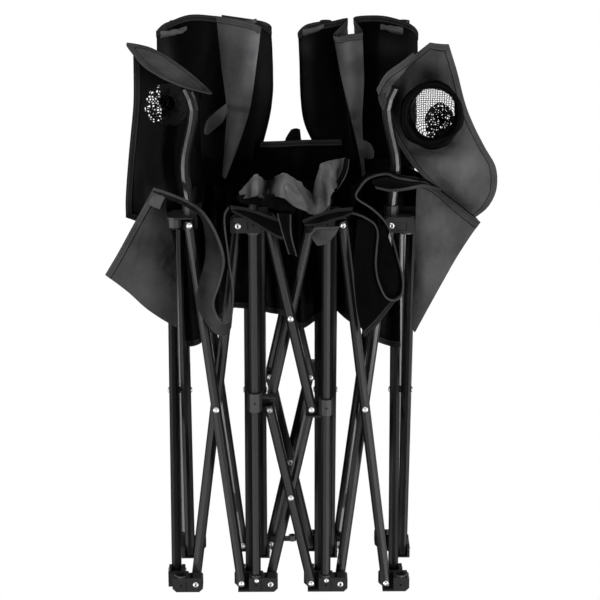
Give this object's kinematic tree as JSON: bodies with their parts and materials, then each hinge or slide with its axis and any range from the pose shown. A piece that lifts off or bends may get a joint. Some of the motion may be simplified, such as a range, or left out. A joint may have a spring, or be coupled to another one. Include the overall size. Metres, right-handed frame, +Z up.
{
  "type": "folding camping loveseat",
  "caption": "Folding camping loveseat on crossed steel tubes with sliding hubs, standing nearly folded with its cloth hanging slack.",
  "frame": {"origin": "on the ground, in the middle of the whole object's footprint", "axes": "+Z up, +Y towards the back, +X to the right as seen from the front"},
  "size_m": [0.5902, 0.2282, 0.8891],
  "materials": {
    "tube_steel": "satin dark grey powder coat",
    "hub_plastic": "moulded black nylon with a light grain",
    "cloth": "woven black polyester with stitched hems"
  },
  "bodies": {
    "front_foot_inner_left": {"front_foot_inner_left": "hub_plastic", "front_post_inner_left": "tube_steel"},
    "front_strut_left_outer": {"front_strut_left_outer": "tube_steel"},
    "front_hub_outer_left": {"front_hub_outer_left": "hub_plastic", "arm_post_outer_left": "tube_steel", "seat_left": "cloth", "side_flap_left": "cloth"},
    "front_strut_left_inner": {"front_strut_left_inner": "tube_steel"},
    "front_foot_outer_left": {"front_foot_outer_left": "hub_plastic"},
    "front_hub_inner_left": {"front_hub_inner_left": "hub_plastic"},
    "front_strut_middle_lower_inner": {"front_strut_middle_lower_inner": "tube_steel"},
    "front_strut_middle_lower_outer": {"front_strut_middle_lower_outer": "tube_steel"},
    "front_foot_inner_right": {"front_foot_inner_right": "hub_plastic", "front_post_inner_right": "tube_steel"},
    "front_slider_inner_left": {"front_slider_inner_left": "hub_plastic"},
    "front_slider_inner_right": {"front_slider_inner_right": "hub_plastic"},
    "front_strut_middle_upper_inner": {"front_strut_middle_upper_inner": "tube_steel"},
    "front_strut_middle_upper_outer": {"front_strut_middle_upper_outer": "tube_steel"},
    "front_strut_right_inner": {"front_strut_right_inner": "tube_steel"},
    "front_strut_right_outer": {"front_strut_right_outer": "tube_steel"},
    "front_foot_outer_right": {"front_foot_outer_right": "hub_plastic"},
    "front_hub_inner_right": {"front_hub_inner_right": "hub_plastic"},
    "front_hub_outer_right": {"front_hub_outer_right": "hub_plastic", "arm_post_outer_right": "tube_steel", "seat_right": "cloth", "side_flap_right": "cloth"},
    "side_strut_outer_left_to_rear": {"side_strut_outer_left_to_rear": "tube_steel"},
    "side_strut_outer_left_to_front": {"side_strut_outer_left_to_front": "tube_steel"},
    "rear_leg_outer_left": {"rear_leg_outer_left": "tube_steel"},
    "rear_hub_outer_left": {"rear_hub_outer_left": "hub_plastic"},
    "side_strut_inner_left_to_rear": {"side_strut_inner_left_to_rear": "tube_steel"},
    "side_strut_inner_left_to_front": {"side_strut_inner_left_to_front": "tube_steel"},
    "rear_leg_inner_left": {"rear_leg_inner_left": "tube_steel"},
    "rear_hub_inner_left": {"rear_hub_inner_left": "hub_plastic"},
    "side_strut_inner_right_to_rear": {"side_strut_inner_right_to_rear": "tube_steel"},
    "side_strut_inner_right_to_front": {"side_strut_inner_right_to_front": "tube_steel"},
    "rear_leg_inner_right": {"rear_leg_inner_right": "tube_steel"},
    "rear_hub_inner_right": {"rear_hub_inner_right": "hub_plastic"},
    "side_strut_outer_right_to_rear": {"side_strut_outer_right_to_rear": "tube_steel"},
    "side_strut_outer_right_to_front": {"side_strut_outer_right_to_front": "tube_steel"},
    "rear_leg_outer_right": {"rear_leg_outer_right": "tube_steel"},
    "rear_hub_outer_right": {"rear_hub_outer_right": "hub_plastic"},
    "rear_strut_left_inner": {"rear_strut_left_inner": "tube_steel"},
    "rear_strut_left_outer": {"rear_strut_left_outer": "tube_steel"},
    "rear_strut_right_outer": {"rear_strut_right_outer": "tube_steel"},
    "rear_strut_right_inner": {"rear_strut_right_inner": "tube_steel"},
    "rear_strut_middle_lower_outer": {"rear_strut_middle_lower_outer": "tube_steel"},
    "rear_strut_middle_lower_inner": {"rear_strut_middle_lower_inner": "tube_steel"},
    "rear_slider_inner_left": {"rear_slider_inner_left": "hub_plastic"},
    "rear_slider_inner_right": {"rear_slider_inner_right": "hub_plastic"},
    "rear_strut_middle_upper_outer": {"rear_strut_middle_upper_outer": "tube_steel"},
    "rear_strut_middle_upper_inner": {"rear_strut_middle_upper_inner": "tube_steel"},
    "back_panel_left": {"back_panel_left": "cloth"},
    "back_panel_right": {"back_panel_right": "cloth"},
    "back_band": {"back_band": "cloth"},
    "armrest_left": {"armrest_left": "cloth"},
    "armrest_right": {"armrest_right": "cloth"},
    "centre_console": {"centre_console": "cloth"},
    "seat_rear_left": {"seat_rear_left": "cloth"},
    "seat_rear_right": {"seat_rear_right": "cloth"}
  },
  "joints": [
    {"name": "front_left_fold", "type": "hinge", "parent": "front_foot_inner_left", "child": "front_strut_left_outer", "pos_m": [-0.0935, -0.055, 0.013], "axis": [0, -1, 0], "range_deg": [0, 41.03]},
    {"name": "front_left_top", "type": "hinge", "parent": "front_strut_left_outer", "child": "front_hub_outer_left", "pos_m": [-0.16631, -0.055, 0.60857], "axis": [0, 1, 0], "range_deg": [0, 41.04]},
    {"name": "front_left_cross", "type": "hinge", "parent": "front_strut_left_outer", "child": "front_strut_left_inner", "pos_m": [-0.1299, -0.0457, 0.31078], "axis": [0, 1, 0], "range_deg": [0, 82.07]},
    {"name": "front_left_foot", "type": "hinge", "parent": "front_strut_left_inner", "child": "front_foot_outer_left", "pos_m": [-0.16631, -0.0364, 0.013], "axis": [0, -1, 0], "range_deg": [0, 41.04]},
    {"name": "front_left_inner_top", "type": "hinge", "parent": "front_strut_left_inner", "child": "front_hub_inner_left", "pos_m": [-0.0935, -0.0364, 0.60857], "axis": [0, -1, 0], "range_deg": [0, 41.04]},
    {"name": "front_middle_foot", "type": "hinge", "parent": "front_foot_inner_left", "child": "front_strut_middle_lower_inner", "pos_m": [-0.0472, -0.0364, 0.013], "axis": [0, 1, 0], "range_deg": [0, 36.58]},
    {"name": "front_middle_lower_cross", "type": "hinge", "parent": "front_strut_middle_lower_inner", "child": "front_strut_middle_lower_outer", "pos_m": [-0.01495, -0.0457, 0.16189], "axis": [0, -1, 0], "range_deg": [0, 73.14]},
    {"name": "front_middle_foot_right", "type": "hinge", "parent": "front_strut_middle_lower_outer", "child": "front_foot_inner_right", "pos_m": [0.0173, -0.055, 0.013], "axis": [0, 1, 0], "range_deg": [0, 36.58]},
    {"name": "front_slider_left", "type": "hinge", "parent": "front_strut_middle_lower_outer", "child": "front_slider_inner_left", "pos_m": [-0.0472, -0.055, 0.31078], "axis": [0, 1, 0], "range_deg": [0, 36.58]},
    {"name": "front_slider_right", "type": "hinge", "parent": "front_strut_middle_lower_inner", "child": "front_slider_inner_right", "pos_m": [0.0173, -0.0364, 0.31078], "axis": [0, -1, 0], "range_deg": [0, 36.58]},
    {"name": "front_middle_upper_foot", "type": "hinge", "parent": "front_slider_inner_left", "child": "front_strut_middle_upper_inner", "pos_m": [-0.0472, -0.0364, 0.31078], "axis": [0, 1, 0], "range_deg": [0, 36.58]},
    {"name": "front_middle_upper_cross", "type": "hinge", "parent": "front_strut_middle_upper_inner", "child": "front_strut_middle_upper_outer", "pos_m": [-0.01495, -0.0457, 0.45967], "axis": [0, -1, 0], "range_deg": [0, 73.14]},
    {"name": "front_right_foot_inner", "type": "hinge", "parent": "front_foot_inner_right", "child": "front_strut_right_inner", "pos_m": [0.0636, -0.0364, 0.013], "axis": [0, 1, 0], "range_deg": [0, 41.04]},
    {"name": "front_right_cross", "type": "hinge", "parent": "front_strut_right_inner", "child": "front_strut_right_outer", "pos_m": [0.10001, -0.0457, 0.31078], "axis": [0, -1, 0], "range_deg": [0, 82.07]},
    {"name": "front_right_foot", "type": "hinge", "parent": "front_strut_right_outer", "child": "front_foot_outer_right", "pos_m": [0.13641, -0.055, 0.013], "axis": [0, 1, 0], "range_deg": [0, 41.04]},
    {"name": "front_right_inner_top", "type": "hinge", "parent": "front_strut_right_outer", "child": "front_hub_inner_right", "pos_m": [0.0636, -0.055, 0.60857], "axis": [0, 1, 0], "range_deg": [0, 41.04]},
    {"name": "front_right_top", "type": "hinge", "parent": "front_strut_right_inner", "child": "front_hub_outer_right", "pos_m": [0.13641, -0.0364, 0.60857], "axis": [0, -1, 0], "range_deg": [0, 41.04]},
    {"name": "side_outer_left_foot", "type": "hinge", "parent": "front_foot_outer_left", "child": "side_strut_outer_left_to_rear", "pos_m": [-0.19876, -0.0132, 0.013], "axis": [-1, 0, 0], "range_deg": [0, 41.04]},
    {"name": "side_outer_left_cross", "type": "hinge", "parent": "side_strut_outer_left_to_rear", "child": "side_strut_outer_left_to_front", "pos_m": [-0.18946, 0.0232, 0.31078], "axis": [1, 0, 0], "range_deg": [0, 82.07]},
    {"name": "side_outer_left_rear_foot", "type": "hinge", "parent": "side_strut_outer_left_to_front", "child": "rear_leg_outer_left", "pos_m": [-0.18016, 0.05961, 0.013], "axis": [-1, 0, 0], "range_deg": [0, 41.04]},
    {"name": "side_outer_left_rear_top", "type": "hinge", "parent": "side_strut_outer_left_to_rear", "child": "rear_hub_outer_left", "pos_m": [-0.19876, 0.05961, 0.60857], "axis": [1, 0, 0], "range_deg": [0, 41.04]},
    {"name": "side_inner_left_foot", "type": "hinge", "parent": "front_foot_inner_left", "child": "side_strut_inner_left_to_rear", "pos_m": [-0.07965, -0.0132, 0.013], "axis": [-1, 0, 0], "range_deg": [0, 41.04]},
    {"name": "side_inner_left_cross", "type": "hinge", "parent": "side_strut_inner_left_to_rear", "child": "side_strut_inner_left_to_front", "pos_m": [-0.07035, 0.0232, 0.31078], "axis": [1, 0, 0], "range_deg": [0, 82.07]},
    {"name": "side_inner_left_rear_foot", "type": "hinge", "parent": "side_strut_inner_left_to_front", "child": "rear_leg_inner_left", "pos_m": [-0.06105, 0.05961, 0.013], "axis": [-1, 0, 0], "range_deg": [0, 41.04]},
    {"name": "side_inner_left_rear_top", "type": "hinge", "parent": "side_strut_inner_left_to_rear", "child": "rear_hub_inner_left", "pos_m": [-0.07965, 0.05961, 0.60857], "axis": [1, 0, 0], "range_deg": [0, 41.04]},
    {"name": "side_inner_right_foot", "type": "hinge", "parent": "front_foot_inner_right", "child": "side_strut_inner_right_to_rear", "pos_m": [0.03115, -0.0132, 0.013], "axis": [-1, 0, 0], "range_deg": [0, 41.04]},
    {"name": "side_inner_right_cross", "type": "hinge", "parent": "side_strut_inner_right_to_rear", "child": "side_strut_inner_right_to_front", "pos_m": [0.04045, 0.0232, 0.31078], "axis": [1, 0, 0], "range_deg": [0, 82.07]},
    {"name": "side_inner_right_rear_foot", "type": "hinge", "parent": "side_strut_inner_right_to_front", "child": "rear_leg_inner_right", "pos_m": [0.04975, 0.05961, 0.013], "axis": [-1, 0, 0], "range_deg": [0, 41.04]},
    {"name": "side_inner_right_rear_top", "type": "hinge", "parent": "side_strut_inner_right_to_rear", "child": "rear_hub_inner_right", "pos_m": [0.03115, 0.05961, 0.60857], "axis": [1, 0, 0], "range_deg": [0, 41.04]},
    {"name": "side_outer_right_foot", "type": "hinge", "parent": "front_foot_outer_right", "child": "side_strut_outer_right_to_rear", "pos_m": [0.15026, -0.0132, 0.013], "axis": [-1, 0, 0], "range_deg": [0, 41.04]},
    {"name": "side_outer_right_cross", "type": "hinge", "parent": "side_strut_outer_right_to_rear", "child": "side_strut_outer_right_to_front", "pos_m": [0.15956, 0.0232, 0.31078], "axis": [1, 0, 0], "range_deg": [0, 82.07]},
    {"name": "side_outer_right_rear_foot", "type": "hinge", "parent": "side_strut_outer_right_to_front", "child": "rear_leg_outer_right", "pos_m": [0.16886, 0.05961, 0.013], "axis": [-1, 0, 0], "range_deg": [0, 41.04]},
    {"name": "side_outer_right_rear_top", "type": "hinge", "parent": "side_strut_outer_right_to_rear", "child": "rear_hub_outer_right", "pos_m": [0.15026, 0.05961, 0.60857], "axis": [1, 0, 0], "range_deg": [0, 41.04]},
    {"name": "rear_left_foot", "type": "hinge", "parent": "rear_leg_inner_left", "child": "rear_strut_left_inner", "pos_m": [-0.0935, 0.08281, 0.013], "axis": [0, -1, 0], "range_deg": [0, 41.04]},
    {"name": "rear_left_cross", "type": "hinge", "parent": "rear_strut_left_inner", "child": "rear_strut_left_outer", "pos_m": [-0.1299, 0.09211, 0.31078], "axis": [0, 1, 0], "range_deg": [0, 82.07]},
    {"name": "rear_right_foot", "type": "hinge", "parent": "rear_leg_inner_right", "child": "rear_strut_right_outer", "pos_m": [0.0636, 0.10141, 0.013], "axis": [0, 1, 0], "range_deg": [0, 41.04]},
    {"name": "rear_right_cross", "type": "hinge", "parent": "rear_strut_right_outer", "child": "rear_strut_right_inner", "pos_m": [0.10001, 0.09211, 0.31078], "axis": [0, -1, 0], "range_deg": [0, 82.07]},
    {"name": "rear_middle_foot", "type": "hinge", "parent": "rear_leg_inner_left", "child": "rear_strut_middle_lower_outer", "pos_m": [-0.0472, 0.10141, 0.013], "axis": [0, 1, 0], "range_deg": [0, 36.58]},
    {"name": "rear_middle_lower_cross", "type": "hinge", "parent": "rear_strut_middle_lower_outer", "child": "rear_strut_middle_lower_inner", "pos_m": [-0.01495, 0.09211, 0.16189], "axis": [0, -1, 0], "range_deg": [0, 73.14]},
    {"name": "rear_slider_left", "type": "hinge", "parent": "rear_strut_middle_lower_inner", "child": "rear_slider_inner_left", "pos_m": [-0.0472, 0.08281, 0.31078], "axis": [0, 1, 0], "range_deg": [0, 36.58]},
    {"name": "rear_slider_right", "type": "hinge", "parent": "rear_strut_middle_lower_outer", "child": "rear_slider_inner_right", "pos_m": [0.0173, 0.10141, 0.31078], "axis": [0, -1, 0], "range_deg": [0, 36.58]},
    {"name": "rear_middle_upper_foot", "type": "hinge", "parent": "rear_slider_inner_left", "child": "rear_strut_middle_upper_outer", "pos_m": [-0.0472, 0.10141, 0.31078], "axis": [0, 1, 0], "range_deg": [0, 36.58]},
    {"name": "rear_middle_upper_cross", "type": "hinge", "parent": "rear_strut_middle_upper_outer", "child": "rear_strut_middle_upper_inner", "pos_m": [-0.01495, 0.09211, 0.45967], "axis": [0, -1, 0], "range_deg": [0, 73.14]},
    {"name": "back_left_spread", "type": "slide", "parent": "rear_leg_outer_left", "child": "back_panel_left", "axis": [1, 0, 0], "range_m": [0, 0.3733]},
    {"name": "back_right_spread", "type": "slide", "parent": "rear_leg_outer_right", "child": "back_panel_right", "axis": [-1, 0, 0], "range_m": [0, 0.3733]},
    {"name": "back_band_spread", "type": "slide", "parent": "rear_leg_inner_left", "child": "back_band", "axis": [1, 0, 0], "range_m": [0, 0.165]},
    {"name": "armrest_left_spread", "type": "slide", "parent": "front_hub_outer_left", "child": "armrest_left", "axis": [0, 0.8871, 0.4615], "range_m": [0, 0.4208]},
    {"name": "armrest_right_spread", "type": "slide", "parent": "front_hub_outer_right", "child": "armrest_right", "axis": [0, 0.8871, 0.4615], "range_m": [0, 0.4208]},
    {"name": "console_spread", "type": "slide", "parent": "front_foot_inner_left", "child": "centre_console", "axis": [1, 0, 0], "range_m": [0, 0.165]},
    {"name": "seat_rear_left_spread", "type": "slide", "parent": "front_hub_outer_left", "child": "seat_rear_left", "axis": [0, 1, 0], "range_m": [0, 0.1868]},
    {"name": "seat_rear_right_spread", "type": "slide", "parent": "seat_rear_left", "child": "seat_rear_right", "axis": [1, 0, 0], "range_m": [0, 0.9111]}
  ],
  "couplings": [
    {"joint": "front_left_top", "follows": "front_left_fold", "ratio": 1},
    {"joint": "front_left_cross", "follows": "front_left_fold", "ratio": 2},
    {"joint": "front_left_foot", "follows": "front_left_fold", "ratio": 1},
    {"joint": "front_left_inner_top", "follows": "front_left_fold", "ratio": 1},
    {"joint": "front_middle_foot", "follows": "front_left_fold", "ratio": 0.89124},
    {"joint": "front_middle_lower_cross", "follows": "front_left_fold", "ratio": 1.7825},
    {"joint": "front_middle_foot_right", "follows": "front_left_fold", "ratio": 0.89124},
    {"joint": "front_slider_left", "follows": "front_left_fold", "ratio": 0.89124},
    {"joint": "front_slider_right", "follows": "front_left_fold", "ratio": 0.89124},
    {"joint": "front_middle_upper_foot", "follows": "front_left_fold", "ratio": 0.89124},
    {"joint": "front_middle_upper_cross", "follows": "front_left_fold", "ratio": 1.7825},
    {"joint": "front_right_foot_inner", "follows": "front_left_fold", "ratio": 1},
    {"joint": "front_right_cross", "follows": "front_left_fold", "ratio": 2},
    {"joint": "front_right_foot", "follows": "front_left_fold", "ratio": 1},
    {"joint": "front_right_inner_top", "follows": "front_left_fold", "ratio": 1},
    {"joint": "front_right_top", "follows": "front_left_fold", "ratio": 1},
    {"joint": "side_outer_left_foot", "follows": "front_left_fold", "ratio": 1},
    {"joint": "side_outer_left_cross", "follows": "front_left_fold", "ratio": 2},
    {"joint": "side_outer_left_rear_foot", "follows": "front_left_fold", "ratio": 1},
    {"joint": "side_outer_left_rear_top", "follows": "front_left_fold", "ratio": 1},
    {"joint": "side_inner_left_foot", "follows": "front_left_fold", "ratio": 1},
    {"joint": "side_inner_left_cross", "follows": "front_left_fold", "ratio": 2},
    {"joint": "side_inner_left_rear_foot", "follows": "front_left_fold", "ratio": 1},
    {"joint": "side_inner_left_rear_top", "follows": "front_left_fold", "ratio": 1},
    {"joint": "side_inner_right_foot", "follows": "front_left_fold", "ratio": 1},
    {"joint": "side_inner_right_cross", "follows": "front_left_fold", "ratio": 2},
    {"joint": "side_inner_right_rear_foot", "follows": "front_left_fold", "ratio": 1},
    {"joint": "side_inner_right_rear_top", "follows": "front_left_fold", "ratio": 1},
    {"joint": "side_outer_right_foot", "follows": "front_left_fold", "ratio": 1},
    {"joint": "side_outer_right_cross", "follows": "front_left_fold", "ratio": 2},
    {"joint": "side_outer_right_rear_foot", "follows": "front_left_fold", "ratio": 1},
    {"joint": "side_outer_right_rear_top", "follows": "front_left_fold", "ratio": 1},
    {"joint": "rear_left_foot", "follows": "front_left_fold", "ratio": 1},
    {"joint": "rear_left_cross", "follows": "front_left_fold", "ratio": 2},
    {"joint": "rear_right_foot", "follows": "front_left_fold", "ratio": 1},
    {"joint": "rear_right_cross", "follows": "front_left_fold", "ratio": 2},
    {"joint": "rear_middle_foot", "follows": "front_left_fold", "ratio": 0.89124},
    {"joint": "rear_middle_lower_cross", "follows": "front_left_fold", "ratio": 1.7825},
    {"joint": "rear_slider_left", "follows": "front_left_fold", "ratio": 0.89124},
    {"joint": "rear_slider_right", "follows": "front_left_fold", "ratio": 0.89124},
    {"joint": "rear_middle_upper_foot", "follows": "front_left_fold", "ratio": 0.89124},
    {"joint": "rear_middle_upper_cross", "follows": "front_left_fold", "ratio": 1.7825},
    {"joint": "back_left_spread", "follows": "front_left_fold", "m_per_rad": 0.52098},
    {"joint": "back_right_spread", "follows": "front_left_fold", "m_per_rad": 0.52098},
    {"joint": "back_band_spread", "follows": "front_left_fold", "m_per_rad": 0.23001},
    {"joint": "armrest_left_spread", "follows": "front_left_fold", "m_per_rad": 0.58726},
    {"joint": "armrest_right_spread", "follows": "front_left_fold", "m_per_rad": 0.58726},
    {"joint": "console_spread", "follows": "front_left_fold", "m_per_rad": 0.23001},
    {"joint": "seat_rear_left_spread", "follows": "front_left_fold", "m_per_rad": 0.26049},
    {"joint": "seat_rear_right_spread", "follows": "front_left_fold", "m_per_rad": 1.272}
  ]
}
